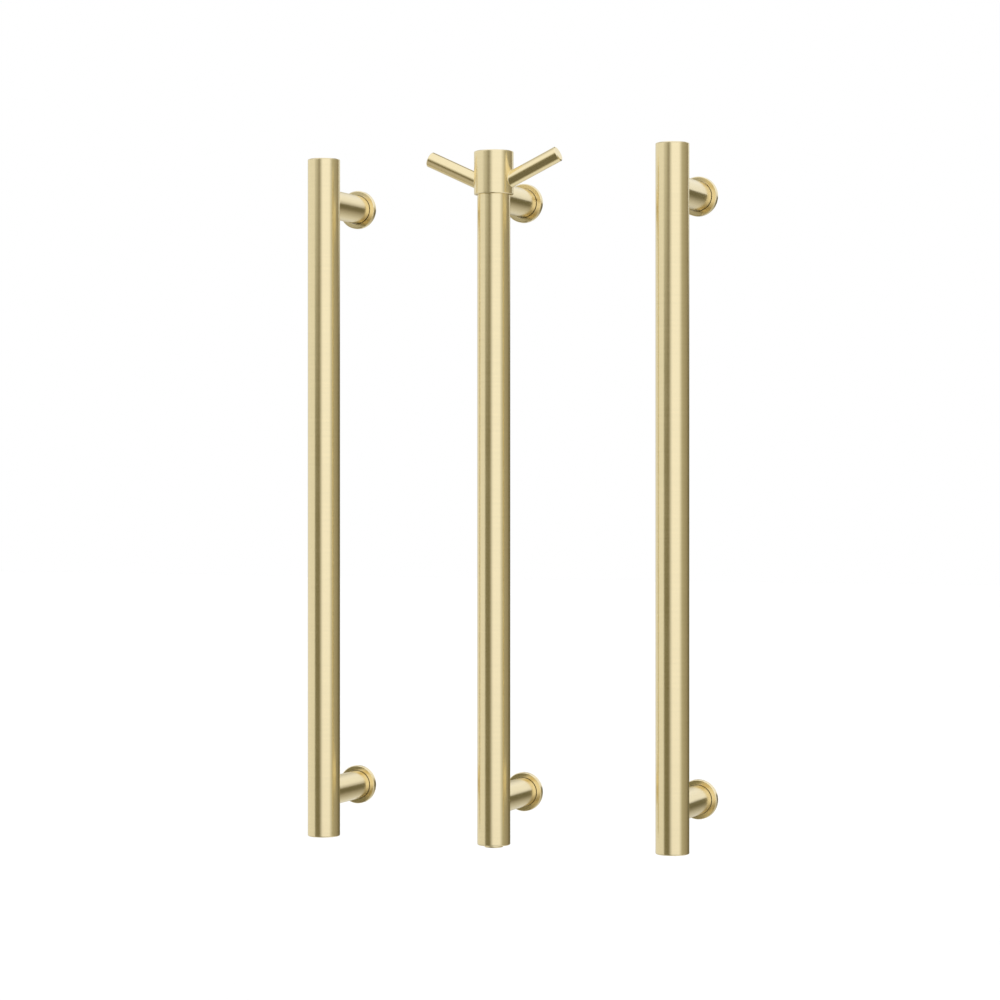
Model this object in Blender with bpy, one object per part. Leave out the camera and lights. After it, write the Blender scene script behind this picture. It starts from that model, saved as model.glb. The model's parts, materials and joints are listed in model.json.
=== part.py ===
"""Towel warmer: three heated upright bars on round wall posts.

The middle bar has a lift-off hook on its top and a push button in its lower end.

Metres, +Z up. The wall is the plane Y = 0 and the bars stand in front of it, at negative Y. X runs along
the wall. The origin is the centre of the back face of the middle bar's upper wall plate.
"""

import math

import bmesh
import bpy
from mathutils import Vector

# Bars. HEIGHT values below are measured up from the lower end of a bar.
BAR_LENGTH = 0.800
BAR_RADIUS = 0.01905
BAR_WALL = 0.0015
BAR_SPACING = 0.2165
BAR_STANDOFF = 0.0995
BAR_SIDES = 32
GAP = 0.0003
EDGE_BEVEL = 0.0008

# End caps: a bevelled rim as wide as the bar, and a spigot inside the tube.
CAP_RIM = 0.0012
CAP_SPIGOT = 0.013
CAP_FLOOR = 0.003

# Wall posts, one near each end of a bar, with their flanges and wall plates.
POST_INSET = 0.051
POST_RADIUS = 0.017
POST_WALL = 0.0015
POST_SIDES = 28
FLANGE_RADIUS = 0.023
FLANGE_THICKNESS = 0.006
FLANGE_CLEARANCE = 0.0005
PLATE_RADIUS = 0.021
PLATE_THICKNESS = 0.003
PLATE_SIDES = 20
BOSS_DEPTH = 0.020
BOSS_WALL = 0.0022
CABLE_HOLE_RADIUS = 0.0054

# Screws
WALL_SCREW_OFFSET = 0.0092
WALL_SCREW_HOLE = 0.0022
WALL_SCREW_SHANK = 0.0019
WALL_SCREW_TIP = 0.0005
WALL_SCREW_HEAD = 0.0034
WALL_SCREW_HEAD_HEIGHT = 0.0026
WALL_SCREW_REACH = 0.022
GRUB_RADIUS = 0.0025
GRUB_DISTANCE_FROM_WALL = 0.013
GRUB_RECESS = 0.0002
POST_GRUB_LENGTH = 0.0046
HOOK_GRUB_LENGTH = 0.0030
SOCKET_ACROSS_CORNERS = 0.0028
SOCKET_DEPTH = 0.0016
SCREW_SIDES = 12

# Heating element and leads
ELEMENT_RADIUS = 0.006
ELEMENT_BOTTOM = 0.078
ELEMENT_TOP = 0.690
ELEMENT_SIDES = 12
SPACER_RADIUS = 0.0168
SPACER_THICKNESS = 0.003
SPACER_INSET = 0.030
LEAD_RADIUS = 0.002
LEAD_LEVEL_OFFSET = 0.0026
LEAD_HOLE_RADIUS = 0.007
LEAD_BEND = 0.012
LEAD_STEP = 0.008

# Hook collar on the middle bar, with one arm to each side
COLLAR_RADIUS = 0.02285
COLLAR_HEIGHT = 0.050
COLLAR_TOP = 0.0035
COLLAR_GRUB_HEIGHT = 0.783
ARM_RADIUS = 0.009
ARM_REACH = 0.0881
ARM_ORIGIN_HEIGHT = 0.7571
ARM_RISE = math.radians(25.0)
ARM_TIP_BEVEL = 0.001
ARM_SIDES = 24

# Push button and switch in the lower end of the middle bar
BUTTON_RADIUS = 0.0108
BUTTON_PROUD = 0.0028
BUTTON_EDGE = 0.0012
BUTTON_BORE_CLEARANCE = 0.0003
BUTTON_LIP_RADIUS = 0.0124
BUTTON_LIP_THICKNESS = 0.002
BUTTON_STEM_RADIUS = 0.004
BUTTON_STEM_TOP = 0.018
BUTTON_SIDES = 24
SWITCH_RADIUS = 0.0168
SWITCH_TOP = 0.036
SWITCH_BORE_RADIUS = 0.0046
SWITCH_BORE_DEPTH = 0.013
SPRING_RADIUS = 0.0065
SPRING_WIRE_RADIUS = 0.0006
SPRING_TURNS = 2.5
SPRING_POINTS_PER_TURN = 10

# Where the bars stand, and the world height of a bar's lower end and of its two posts
UPPER_POST_HEIGHT = BAR_LENGTH - POST_INSET
LOWER_POST_HEIGHT = POST_INSET
BAR_BOTTOM_Z = -UPPER_POST_HEIGHT
BARS = {"left": -BAR_SPACING, "middle": 0.0, "right": BAR_SPACING}
POSTS = {"upper": UPPER_POST_HEIGHT, "lower": LOWER_POST_HEIGHT}
FACING_ROOM = (math.pi / 2, 0.0, 0.0)

# Sizes that follow from the ones above
TUBE_END = CAP_RIM + GAP
BORE_RADIUS = BAR_RADIUS - BAR_WALL
SPIGOT_RADIUS = BORE_RADIUS - GAP
SADDLE_RADIUS = BAR_RADIUS + GAP
POST_BORE_RADIUS = POST_RADIUS - POST_WALL
BOSS_RADIUS = POST_BORE_RADIUS - GAP
GRUB_HOLE_RADIUS = GRUB_RADIUS + GAP
MIDDLE_BAR_TOP = BAR_LENGTH - COLLAR_TOP - GAP
SWITCH_BOTTOM = CAP_SPIGOT + GAP
SPIGOT_BORE_RADIUS = BUTTON_LIP_RADIUS + 0.002


def clear_scene():
    for obj in list(bpy.data.objects):
        bpy.data.objects.remove(obj, do_unlink=True)


def make_material(name, colour, roughness, metallic):
    material = bpy.data.materials.new(name)
    material.use_nodes = True
    shader = material.node_tree.nodes["Principled BSDF"]
    shader.inputs["Base Color"].default_value = (*colour, 1.0)
    shader.inputs["Roughness"].default_value = roughness
    shader.inputs["Metallic"].default_value = metallic
    return material


def make_empty(name, location):
    empty = bpy.data.objects.new(name, None)
    empty.empty_display_size = 0.02
    empty.location = location
    bpy.context.collection.objects.link(empty)
    return empty


def place(name, data, parent, location=(0.0, 0.0, 0.0), rotation=(0.0, 0.0, 0.0), material=None):
    """Links a new object. A node has its own material, and a cutter has none."""
    obj = bpy.data.objects.new(name, data)
    obj.parent = parent
    obj.location = location
    obj.rotation_euler = rotation
    bpy.context.collection.objects.link(obj)
    if material is not None:
        data.materials.clear()
        data.materials.append(material)
    return obj


def turned_mesh(name, outline, sides):
    """A closed solid of revolution about Z. The outline lists (radius, height) points in order.

    It is a closed loop, or a chain whose two ends lie on the axis.
    """
    bm = bmesh.new()
    verts = [bm.verts.new((radius, 0.0, height)) for radius, height in outline]
    edges = [bm.edges.new(pair) for pair in zip(verts, verts[1:])]
    on_axis = outline[0][0] == 0.0 and outline[-1][0] == 0.0
    if not on_axis:
        edges.append(bm.edges.new((verts[-1], verts[0])))
    bmesh.ops.spin(
        bm,
        geom=verts + edges,
        cent=(0.0, 0.0, 0.0),
        axis=(0.0, 0.0, 1.0),
        angle=2.0 * math.pi,
        steps=sides,
        use_merge=True,
    )
    bmesh.ops.remove_doubles(bm, verts=bm.verts, dist=1e-6)
    centres = [vert for vert in bm.verts if vert.co.xy.length < 1e-6]
    bmesh.ops.dissolve_verts(bm, verts=centres)
    bmesh.ops.recalc_face_normals(bm, faces=bm.faces)
    mesh = bpy.data.meshes.new(name)
    bm.to_mesh(mesh)
    bm.free()
    mesh.shade_smooth()
    mesh.set_sharp_from_angle(angle=math.radians(30.0))
    return mesh


def rod_outline(radius, bottom, top):
    return [(0.0, bottom), (radius, bottom), (radius, top), (0.0, top)]


def make_cutter(name, radius, bottom, top, sides, parent, location=(0.0, 0.0, 0.0), rotation=(0.0,) * 3):
    mesh = turned_mesh(name, rod_outline(radius, bottom, top), sides)
    cutter = place(name, mesh, parent, location, rotation)
    cutter.hide_render = True
    cutter.display_type = "WIRE"
    return cutter


def cut(target, *cutters):
    for cutter in cutters:
        boolean = target.modifiers.new(cutter.name, "BOOLEAN")
        boolean.operation = "DIFFERENCE"
        boolean.solver = "EXACT"
        boolean.object = cutter


def smooth_route(points, step):
    """Points about a step apart on a Catmull-Rom curve through the route's own points."""
    points = [Vector(point) for point in points]
    ends = [2 * points[0] - points[1], *points, 2 * points[-1] - points[-2]]
    route = [points[0]]
    for before, start, end, after in zip(ends, ends[1:], ends[2:], ends[3:]):
        count = max(1, round((end - start).length / step))
        for index in range(1, count + 1):
            t = index / count
            route.append(
                0.5
                * (
                    2 * start
                    + (end - before) * t
                    + (2 * before - 5 * start + 4 * end - after) * t**2
                    + (3 * start - before - 3 * end + after) * t**3
                )
            )
    return route


def wire_curve(name, points, radius, resolution):
    curve = bpy.data.curves.new(name, "CURVE")
    curve.dimensions = "3D"
    curve.bevel_depth = radius
    curve.bevel_resolution = resolution
    curve.use_fill_caps = True
    spline = curve.splines.new("POLY")
    spline.points.add(len(points) - 1)
    for point, position in zip(spline.points, points):
        point.co = (*position, 1.0)
    return curve


def bar_tube(side, parent, top, finish):
    """A round tube, with a hole in its back for the leads behind the lower post."""
    end = top - TUBE_END
    outline = [(BORE_RADIUS, TUBE_END), (BAR_RADIUS, TUBE_END), (BAR_RADIUS, end), (BORE_RADIUS, end)]
    name = f"{side}_bar_tube"
    tube = place(name, turned_mesh(name, outline, BAR_SIDES), parent, material=finish)
    hole = make_cutter(
        f"{side}_lead_hole_cutter",
        LEAD_HOLE_RADIUS,
        -BAR_RADIUS - GAP,
        -BAR_WALL,
        SCREW_SIDES,
        parent,
        (0.0, 0.0, LOWER_POST_HEIGHT),
        FACING_ROOM,
    )
    cut(tube, hole)


def plain_cap(name, parent, height, upside_down, finish):
    """A solid end cap with a bevelled rim, its outer face at the given height."""
    outline = [
        (0.0, 0.0),
        (BAR_RADIUS - EDGE_BEVEL, 0.0),
        (BAR_RADIUS, EDGE_BEVEL),
        (BAR_RADIUS, CAP_RIM),
        (SPIGOT_RADIUS, CAP_RIM),
        (SPIGOT_RADIUS, CAP_SPIGOT),
        (0.0, CAP_SPIGOT),
    ]
    rotation = (math.pi, 0.0, 0.0) if upside_down else (0.0, 0.0, 0.0)
    place(name, turned_mesh(name, outline, BAR_SIDES), parent, (0.0, 0.0, height), rotation, finish)


def button_end_cap(parent, finish):
    """The middle bar's lower cap: a ring round the button, with a hollow spigot that bears the switch."""
    bore = BUTTON_RADIUS + BUTTON_BORE_CLEARANCE
    outline = [
        (bore, 0.0),
        (BAR_RADIUS - EDGE_BEVEL, 0.0),
        (BAR_RADIUS, EDGE_BEVEL),
        (BAR_RADIUS, CAP_RIM),
        (SPIGOT_RADIUS, CAP_RIM),
        (SPIGOT_RADIUS, CAP_SPIGOT),
        (SPIGOT_BORE_RADIUS, CAP_SPIGOT),
        (SPIGOT_BORE_RADIUS, CAP_FLOOR),
        (bore, CAP_FLOOR),
    ]
    name = "middle_bottom_cap"
    place(name, turned_mesh(name, outline, BAR_SIDES), parent, material=finish)


def heating_element(side, parent, finish):
    """A cartridge heater with two spacer discs that centre it in the tube."""
    lower = ELEMENT_BOTTOM + SPACER_INSET
    upper = ELEMENT_TOP - SPACER_INSET
    outline = [(0.0, ELEMENT_BOTTOM), (ELEMENT_RADIUS, ELEMENT_BOTTOM)]
    for base in (lower, upper):
        outline += [
            (ELEMENT_RADIUS, base),
            (SPACER_RADIUS, base),
            (SPACER_RADIUS, base + SPACER_THICKNESS),
            (ELEMENT_RADIUS, base + SPACER_THICKNESS),
        ]
    outline += [(ELEMENT_RADIUS, ELEMENT_TOP), (0.0, ELEMENT_TOP)]
    name = f"{side}_heating_element"
    place(name, turned_mesh(name, outline, ELEMENT_SIDES), parent, material=finish)


def lead(name, parent, start_height, level, finish):
    """A lead from inside the bar, round one bend and back along the lower post to the cable hole."""
    towards = 1.0 if level > start_height else -1.0
    quarter = LEAD_BEND * (1.0 - math.cos(math.pi / 4))
    route = [
        (0.0, 0.0, start_height),
        (0.0, 0.0, level - towards * LEAD_BEND),
        (0.0, quarter, level - towards * quarter),
        (0.0, LEAD_BEND, level),
        (0.0, 0.5 * BAR_STANDOFF, level),
        (0.0, BAR_STANDOFF - GAP, level),
    ]
    curve = wire_curve(name, smooth_route(route, LEAD_STEP), LEAD_RADIUS, 2)
    place(name, curve, parent, material=finish)


def wall_mount(side, level, parent, finishes):
    """One post with its flange, wall plate and screws. Here +Z points from the wall to the room."""
    prefix = f"{side}_{level}"
    base = make_empty(f"{prefix}_mount", (0.0, BAR_STANDOFF, POSTS[level]))
    base.parent = parent
    base.rotation_euler = FACING_ROOM
    saddle = make_cutter(
        f"{prefix}_saddle_cutter",
        SADDLE_RADIUS,
        POSTS[level] - 2 * POST_RADIUS,
        POSTS[level] + 2 * POST_RADIUS,
        BAR_SIDES,
        parent,
    )
    grub_hole = make_cutter(
        f"{prefix}_grub_hole_cutter",
        GRUB_HOLE_RADIUS,
        BOSS_RADIUS - 2 * BOSS_WALL,
        2 * POST_RADIUS,
        SCREW_SIDES,
        base,
        (0.0, 0.0, GRUB_DISTANCE_FROM_WALL),
        FACING_ROOM,
    )
    post(prefix, base, saddle, grub_hole, finishes["brass"])
    flange(prefix, base, finishes["brass"])
    wall_plate(prefix, base, grub_hole, level == "lower", finishes["steel"])
    reach = POST_RADIUS - GRUB_RECESS
    grub_name = f"{prefix}_grub_screw"
    grub_screw(grub_name, base, reach, POST_GRUB_LENGTH, GRUB_DISTANCE_FROM_WALL, finishes["steel"])
    for number, offset in enumerate((-WALL_SCREW_OFFSET, WALL_SCREW_OFFSET), 1):
        wall_screw(f"{prefix}_wall_screw_{number}", base, offset, finishes["steel"])


def post(prefix, base, saddle, grub_hole, finish):
    """A tube from the wall plate to the bar, its front end cut to sit on the bar's round back."""
    wall_end = PLATE_THICKNESS + GAP
    outline = [
        (POST_BORE_RADIUS, wall_end),
        (POST_RADIUS, wall_end),
        (POST_RADIUS, BAR_STANDOFF),
        (POST_BORE_RADIUS, BAR_STANDOFF),
    ]
    name = f"{prefix}_post"
    cut(place(name, turned_mesh(name, outline, POST_SIDES), base, material=finish), saddle, grub_hole)


def flange(prefix, base, finish):
    """A round cover over the wall plate, open in the middle for the post."""
    bore = POST_RADIUS + FLANGE_CLEARANCE
    recess_radius = PLATE_RADIUS + GAP
    recess_depth = PLATE_THICKNESS + GAP
    outline = [
        (recess_radius, 0.0),
        (FLANGE_RADIUS, 0.0),
        (FLANGE_RADIUS, FLANGE_THICKNESS - EDGE_BEVEL),
        (FLANGE_RADIUS - EDGE_BEVEL, FLANGE_THICKNESS),
        (bore, FLANGE_THICKNESS),
        (bore, recess_depth),
        (recess_radius, recess_depth),
    ]
    name = f"{prefix}_flange"
    place(name, turned_mesh(name, outline, POST_SIDES), base, material=finish)


def wall_plate(prefix, base, grub_hole, has_cable_hole, finish):
    """A disc that screws to the wall, with a hollow boss that the post slides over."""
    boss_bore = BOSS_RADIUS - BOSS_WALL
    centre = CABLE_HOLE_RADIUS if has_cable_hole else 0.0
    outline = [
        (centre, 0.0),
        (PLATE_RADIUS, 0.0),
        (PLATE_RADIUS, PLATE_THICKNESS),
        (BOSS_RADIUS, PLATE_THICKNESS),
        (BOSS_RADIUS, BOSS_DEPTH),
        (boss_bore, BOSS_DEPTH),
        (boss_bore, PLATE_THICKNESS),
        (centre, PLATE_THICKNESS),
    ]
    name = f"{prefix}_wall_plate"
    plate = place(name, turned_mesh(name, outline, PLATE_SIDES), base, material=finish)
    through = (-PLATE_THICKNESS, 2 * PLATE_THICKNESS)
    for number, offset in enumerate((-WALL_SCREW_OFFSET, WALL_SCREW_OFFSET), 1):
        hole_name = f"{prefix}_wall_screw_hole_cutter_{number}"
        cut(plate, make_cutter(hole_name, WALL_SCREW_HOLE, *through, SCREW_SIDES, base, (offset, 0.0, 0.0)))
    cut(plate, grub_hole)


def socket_cutter(name, parent, top, location, rotation=(0.0, 0.0, 0.0)):
    radius = SOCKET_ACROSS_CORNERS / 2
    return make_cutter(name, radius, top - SOCKET_DEPTH, top + SOCKET_DEPTH, 6, parent, location, rotation)


def grub_screw(name, base, reach, length, distance, finish, rotation=FACING_ROOM):
    """A headless screw with a hexagon socket, its outer end at this reach from the axis it crosses."""
    mesh = turned_mesh(name, rod_outline(GRUB_RADIUS, reach - length, reach), SCREW_SIDES)
    location = (0.0, 0.0, distance)
    screw = place(name, mesh, base, location, rotation, finish)
    cut(screw, socket_cutter(f"{name}_socket_cutter", base, reach, location, rotation))


def wall_screw(name, base, offset, finish):
    """A pan-head screw through the wall plate, with its point in the wall."""
    seat = PLATE_THICKNESS + GAP
    top = seat + WALL_SCREW_HEAD_HEIGHT
    outline = [
        (0.0, -WALL_SCREW_REACH),
        (WALL_SCREW_TIP, -WALL_SCREW_REACH),
        (WALL_SCREW_SHANK, -WALL_SCREW_REACH + 2 * WALL_SCREW_SHANK),
        (WALL_SCREW_SHANK, seat),
        (WALL_SCREW_HEAD, seat),
        (WALL_SCREW_HEAD, top),
        (0.0, top),
    ]
    screw = place(name, turned_mesh(name, outline, SCREW_SIDES), base, (offset, 0.0, 0.0), material=finish)
    cut(screw, socket_cutter(f"{name}_socket_cutter", base, top, (offset, 0.0, 0.0)))


def hook(parent, finishes):
    """A collar that drops over the middle bar's top and straddles its upper post, with two arms."""
    axis = make_empty("hook_axis", (0.0, 0.0, BAR_LENGTH - COLLAR_HEIGHT))
    axis.parent = parent
    outline = [
        (0.0, COLLAR_HEIGHT),
        (COLLAR_RADIUS - EDGE_BEVEL, COLLAR_HEIGHT),
        (COLLAR_RADIUS, COLLAR_HEIGHT - EDGE_BEVEL),
        (COLLAR_RADIUS, EDGE_BEVEL),
        (COLLAR_RADIUS - EDGE_BEVEL, 0.0),
        (SADDLE_RADIUS, 0.0),
        (SADDLE_RADIUS, COLLAR_HEIGHT - COLLAR_TOP),
        (0.0, COLLAR_HEIGHT - COLLAR_TOP),
    ]
    collar_mesh = turned_mesh("hook_collar", outline, BAR_SIDES)
    collar = place("hook_collar", collar_mesh, axis, material=finishes["brass"])
    behind = (math.pi / -2, 0.0, 0.0)
    post_level = (0.0, 0.0, UPPER_POST_HEIGHT)
    far = BAR_STANDOFF / 2
    notch_radius = POST_RADIUS + GAP
    notch = make_cutter("hook_notch_cutter", notch_radius, 0.0, far, POST_SIDES, parent, post_level, behind)
    grub_level = (0.0, 0.0, COLLAR_GRUB_HEIGHT)
    hole_name = "hook_grub_hole_cutter"
    grub_hole = make_cutter(
        hole_name, GRUB_HOLE_RADIUS, BAR_RADIUS, far, SCREW_SIDES, parent, grub_level, behind
    )
    cut(collar, notch, grub_hole)
    grub_distance = COLLAR_GRUB_HEIGHT - (BAR_LENGTH - COLLAR_HEIGHT)
    reach = COLLAR_RADIUS - GRUB_RECESS
    grub_screw("hook_grub_screw", axis, reach, HOOK_GRUB_LENGTH, grub_distance, finishes["steel"], behind)

    collar_clearance = COLLAR_RADIUS + GAP
    saddle = make_cutter(
        "hook_arm_saddle_cutter", collar_clearance, -COLLAR_HEIGHT, 2 * COLLAR_HEIGHT, BAR_SIDES, axis
    )
    arm_outline = [
        (0.0, COLLAR_RADIUS / 2),
        (ARM_RADIUS, COLLAR_RADIUS / 2),
        (ARM_RADIUS, ARM_REACH - ARM_TIP_BEVEL),
        (ARM_RADIUS - ARM_TIP_BEVEL, ARM_REACH),
        (0.0, ARM_REACH),
    ]
    arm_level = (0.0, 0.0, ARM_ORIGIN_HEIGHT - (BAR_LENGTH - COLLAR_HEIGHT))
    for name, turn in (("hook_arm_left", -1.0), ("hook_arm_right", 1.0)):
        tilt = (0.0, turn * (math.pi / 2 - ARM_RISE), 0.0)
        arm_mesh = turned_mesh(name, arm_outline, ARM_SIDES)
        arm = place(name, arm_mesh, axis, arm_level, tilt, finishes["brass"])
        cut(arm, saddle)


def push_button(parent, finishes):
    """The button stands proud of the lower cap, with its lip inside on the cap's floor, under a spring."""
    lip = CAP_FLOOR + GAP
    lip_top = lip + BUTTON_LIP_THICKNESS
    button_outline = [
        (0.0, -BUTTON_PROUD),
        (BUTTON_RADIUS - BUTTON_EDGE, -BUTTON_PROUD),
        (BUTTON_RADIUS, BUTTON_EDGE - BUTTON_PROUD),
        (BUTTON_RADIUS, lip),
        (BUTTON_LIP_RADIUS, lip),
        (BUTTON_LIP_RADIUS, lip_top),
        (BUTTON_STEM_RADIUS, lip_top),
        (BUTTON_STEM_RADIUS, BUTTON_STEM_TOP),
        (0.0, BUTTON_STEM_TOP),
    ]
    button_mesh = turned_mesh("button_cap", button_outline, BUTTON_SIDES)
    place("button_cap", button_mesh, parent, material=finishes["button"])

    switch_outline = [
        (0.0, SWITCH_TOP),
        (SWITCH_RADIUS, SWITCH_TOP),
        (SWITCH_RADIUS, SWITCH_BOTTOM),
        (SWITCH_BORE_RADIUS, SWITCH_BOTTOM),
        (SWITCH_BORE_RADIUS, SWITCH_BOTTOM + SWITCH_BORE_DEPTH),
        (0.0, SWITCH_BOTTOM + SWITCH_BORE_DEPTH),
    ]
    switch_mesh = turned_mesh("switch_body", switch_outline, BUTTON_SIDES)
    place("switch_body", switch_mesh, parent, material=finishes["plastic"])

    low = lip_top + SPRING_WIRE_RADIUS + GAP
    high = SWITCH_BOTTOM - SPRING_WIRE_RADIUS - GAP
    count = round(SPRING_TURNS * SPRING_POINTS_PER_TURN)
    coil = []
    for index in range(count + 1):
        angle = 2 * math.pi * index / SPRING_POINTS_PER_TURN
        height = low + (high - low) * index / count
        coil.append((SPRING_RADIUS * math.cos(angle), SPRING_RADIUS * math.sin(angle), height))
    spring_curve = wire_curve("button_spring", coil, SPRING_WIRE_RADIUS, 1)
    place("button_spring", spring_curve, parent, material=finishes["steel"])
    lead("switch_lead", parent, SWITCH_TOP + GAP, LOWER_POST_HEIGHT - LEAD_LEVEL_OFFSET, finishes["lead"])


def bar(side, finishes):
    """One heated bar with its two wall mounts."""
    axis = make_empty(f"{side}_bar", (BARS[side], -BAR_STANDOFF, BAR_BOTTOM_Z))
    top = MIDDLE_BAR_TOP if side == "middle" else BAR_LENGTH
    bar_tube(side, axis, top, finishes["brass"])
    plain_cap(f"{side}_top_cap", axis, top, True, finishes["brass"])
    if side != "middle":
        plain_cap(f"{side}_bottom_cap", axis, 0.0, False, finishes["brass"])
    heating_element(side, axis, finishes["element"])
    lead_level = LOWER_POST_HEIGHT + LEAD_LEVEL_OFFSET
    lead(f"{side}_lead", axis, ELEMENT_BOTTOM - GAP, lead_level, finishes["lead"])
    for level in POSTS:
        wall_mount(side, level, axis, finishes)
    return axis


def main():
    clear_scene()
    finishes = {
        "brass": make_material("brushed_brass", (0.88, 0.76, 0.48), 0.28, 1.0),
        "button": make_material("button_brass", (0.80, 0.69, 0.43), 0.32, 1.0),
        "steel": make_material("plain_steel", (0.56, 0.56, 0.57), 0.35, 1.0),
        "element": make_material("heater_sheath", (0.36, 0.35, 0.34), 0.45, 1.0),
        "plastic": make_material("switch_housing", (0.03, 0.03, 0.03), 0.5, 0.0),
        "lead": make_material("silicone_lead", (0.62, 0.60, 0.56), 0.6, 0.0),
    }
    axes = {side: bar(side, finishes) for side in BARS}
    button_end_cap(axes["middle"], finishes["brass"])
    hook(axes["middle"], finishes)
    push_button(axes["middle"], finishes)


main()
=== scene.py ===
"""Looks of the towel warmer: a fine mesh and a material for every piece, a pale studio and the camera.

Metres, +Z up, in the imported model's frame. The wall is the plane Y = 0 and the room is at negative Y. Each
piece takes its place from the CAD node that it stands for, and rides on that node's body. Most pieces are
turned round their own Z axis. The leads and the spring are swept along their wire.
"""

import json
import math

import bmesh
import bpy
from mathutils import Matrix, Vector

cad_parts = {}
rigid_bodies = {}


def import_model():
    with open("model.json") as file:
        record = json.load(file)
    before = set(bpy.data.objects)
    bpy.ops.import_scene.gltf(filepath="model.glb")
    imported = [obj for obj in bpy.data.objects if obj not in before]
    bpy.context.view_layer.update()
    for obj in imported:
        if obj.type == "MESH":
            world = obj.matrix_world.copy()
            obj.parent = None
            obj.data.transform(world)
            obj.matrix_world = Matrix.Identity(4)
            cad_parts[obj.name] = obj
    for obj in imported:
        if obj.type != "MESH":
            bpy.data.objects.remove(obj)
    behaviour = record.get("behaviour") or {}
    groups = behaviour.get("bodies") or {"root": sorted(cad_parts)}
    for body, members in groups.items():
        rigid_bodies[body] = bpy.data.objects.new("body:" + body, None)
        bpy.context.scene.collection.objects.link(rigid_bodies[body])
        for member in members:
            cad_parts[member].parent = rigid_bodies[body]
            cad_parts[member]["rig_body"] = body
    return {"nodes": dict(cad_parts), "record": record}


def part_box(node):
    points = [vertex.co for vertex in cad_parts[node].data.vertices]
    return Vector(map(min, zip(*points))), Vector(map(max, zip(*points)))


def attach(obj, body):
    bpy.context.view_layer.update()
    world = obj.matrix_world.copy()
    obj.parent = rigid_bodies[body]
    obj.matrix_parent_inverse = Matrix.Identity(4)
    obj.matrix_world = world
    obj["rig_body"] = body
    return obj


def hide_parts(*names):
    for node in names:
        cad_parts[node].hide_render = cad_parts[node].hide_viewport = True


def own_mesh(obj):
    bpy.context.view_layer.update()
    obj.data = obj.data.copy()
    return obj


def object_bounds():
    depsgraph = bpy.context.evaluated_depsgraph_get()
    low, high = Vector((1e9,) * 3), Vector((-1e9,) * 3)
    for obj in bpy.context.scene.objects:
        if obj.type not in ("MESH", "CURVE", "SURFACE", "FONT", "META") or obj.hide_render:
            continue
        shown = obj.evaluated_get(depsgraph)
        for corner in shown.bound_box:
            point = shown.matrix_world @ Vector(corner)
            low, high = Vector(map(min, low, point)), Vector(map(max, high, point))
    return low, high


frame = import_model()
CAD_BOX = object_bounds()
SLOTS = {part["node"]: part["material_slot"] for part in frame["record"]["subparts"]}

# Fineness of the meshes
BAR_SIDES = 160
POST_SIDES = 128
PLATE_SIDES = 96
SCREW_SIDES = 48
WIRE_SIDES = 20
DEGREES_PER_STEP = 15.0
SUPPORT = 0.0006
SHARP_ANGLE = math.radians(32.0)
WORN_ANGLE = math.radians(6.0)

# Bars and their caps
BAR_WALL = 0.0015
SEAM = 0.00006
SEAM_ROUNDING = 0.0001
EDGE_BEVEL = 0.0008
BEVEL_ROUNDING = 0.00025
CAP_FLOOR = 0.003
SPIGOT_ROUNDING = 0.0004
SPIGOT_CLEARANCE = 0.002
LEAD_HOLE_RADIUS = 0.007
LEAD_HOLE_BAND = 0.012

# Posts, flanges and wall plates
POST_WALL = 0.0015
BRAZING_FILLET = 0.0007
SADDLE_SINK = 0.00003
GRUB_DISTANCE_FROM_WALL = 0.013
GRUB_HOLE_RADIUS = 0.0028
GRUB_HOLE_BAND = 0.0036
FLANGE_CLEARANCE = 0.0005
PLATE_THICKNESS = 0.003
PLATE_ROUNDING = 0.0004
BOSS_WALL = 0.0022
CABLE_HOLE_RADIUS = 0.0054
SCREW_HOLE_RADIUS = 0.0022
GAP = 0.0003

# Screws
WALL_SCREW_SHANK = 0.0019
WALL_SCREW_HEAD_HEIGHT = 0.0026
WALL_SCREW_HEAD_ROUNDING = 0.6 * WALL_SCREW_HEAD_HEIGHT
THREAD_PITCH = 0.0014
THREAD_DEPTH = 0.0005
THREAD_ROWS = 8
THREAD_STEEPNESS = 3.2
THREAD_FREE = 0.004
SCREW_POINT_RADIUS = 0.0005
GRUB_ROUNDING = 0.0003
SOCKET_RADIUS = 0.0014
SOCKET_DEPTH = 0.0016

# Hook
COLLAR_TOP = 0.0035
ARM_RADIUS = 0.009
ARM_RISE = math.radians(25.0)
ARM_TIP_BEVEL = 0.001
ARM_FILLET = 0.0005
ARM_REACH = 0.0881
ARM_RAISE = 0.0071

# Push button, its spring and the switch
BUTTON_RADIUS = 0.0108
BUTTON_EDGE = 0.0012
BUTTON_LIP_THICKNESS = 0.002
BUTTON_STEM_RADIUS = 0.004
SPRING_RADIUS = 0.0065
SPRING_WIRE_RADIUS = 0.0006
SPRING_TURNS = 2.5
SPRING_POINTS_PER_TURN = 32
SWITCH_BORE_RADIUS = 0.0046
SWITCH_BORE_DEPTH = 0.013

# Heating elements and leads
SPACER_THICKNESS = 0.003
SPACER_INSET = 0.030
ELEMENT_RADIUS = 0.006
ELEMENT_ROUNDING = 0.0015
LEAD_RADIUS = 0.002
LEAD_BEND = 0.012
LEAD_STEP = 0.002

# Camera: sensor and lens in millimetres
CAMERA_SENSOR = 36.0
CAMERA_LENS = 99.55
CAMERA_DISTANCE = 3.1894
CAMERA_AZIMUTH = math.radians(21.66)
CAMERA_AIM_X = 0.0077
CAMERA_AIM_RAISE = 0.0204
CAMERA_SHIFT_Y = -0.01934

# Studio
FLOOR_DROP = 0.85
FLOOR_SIZE = 60.0
FLOOR_COLOUR = (0.86, 0.86, 0.86)
FLOOR_ROUGHNESS = 0.9
FILL_LIGHT = 1.25
BACKDROP = 1.0

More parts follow.
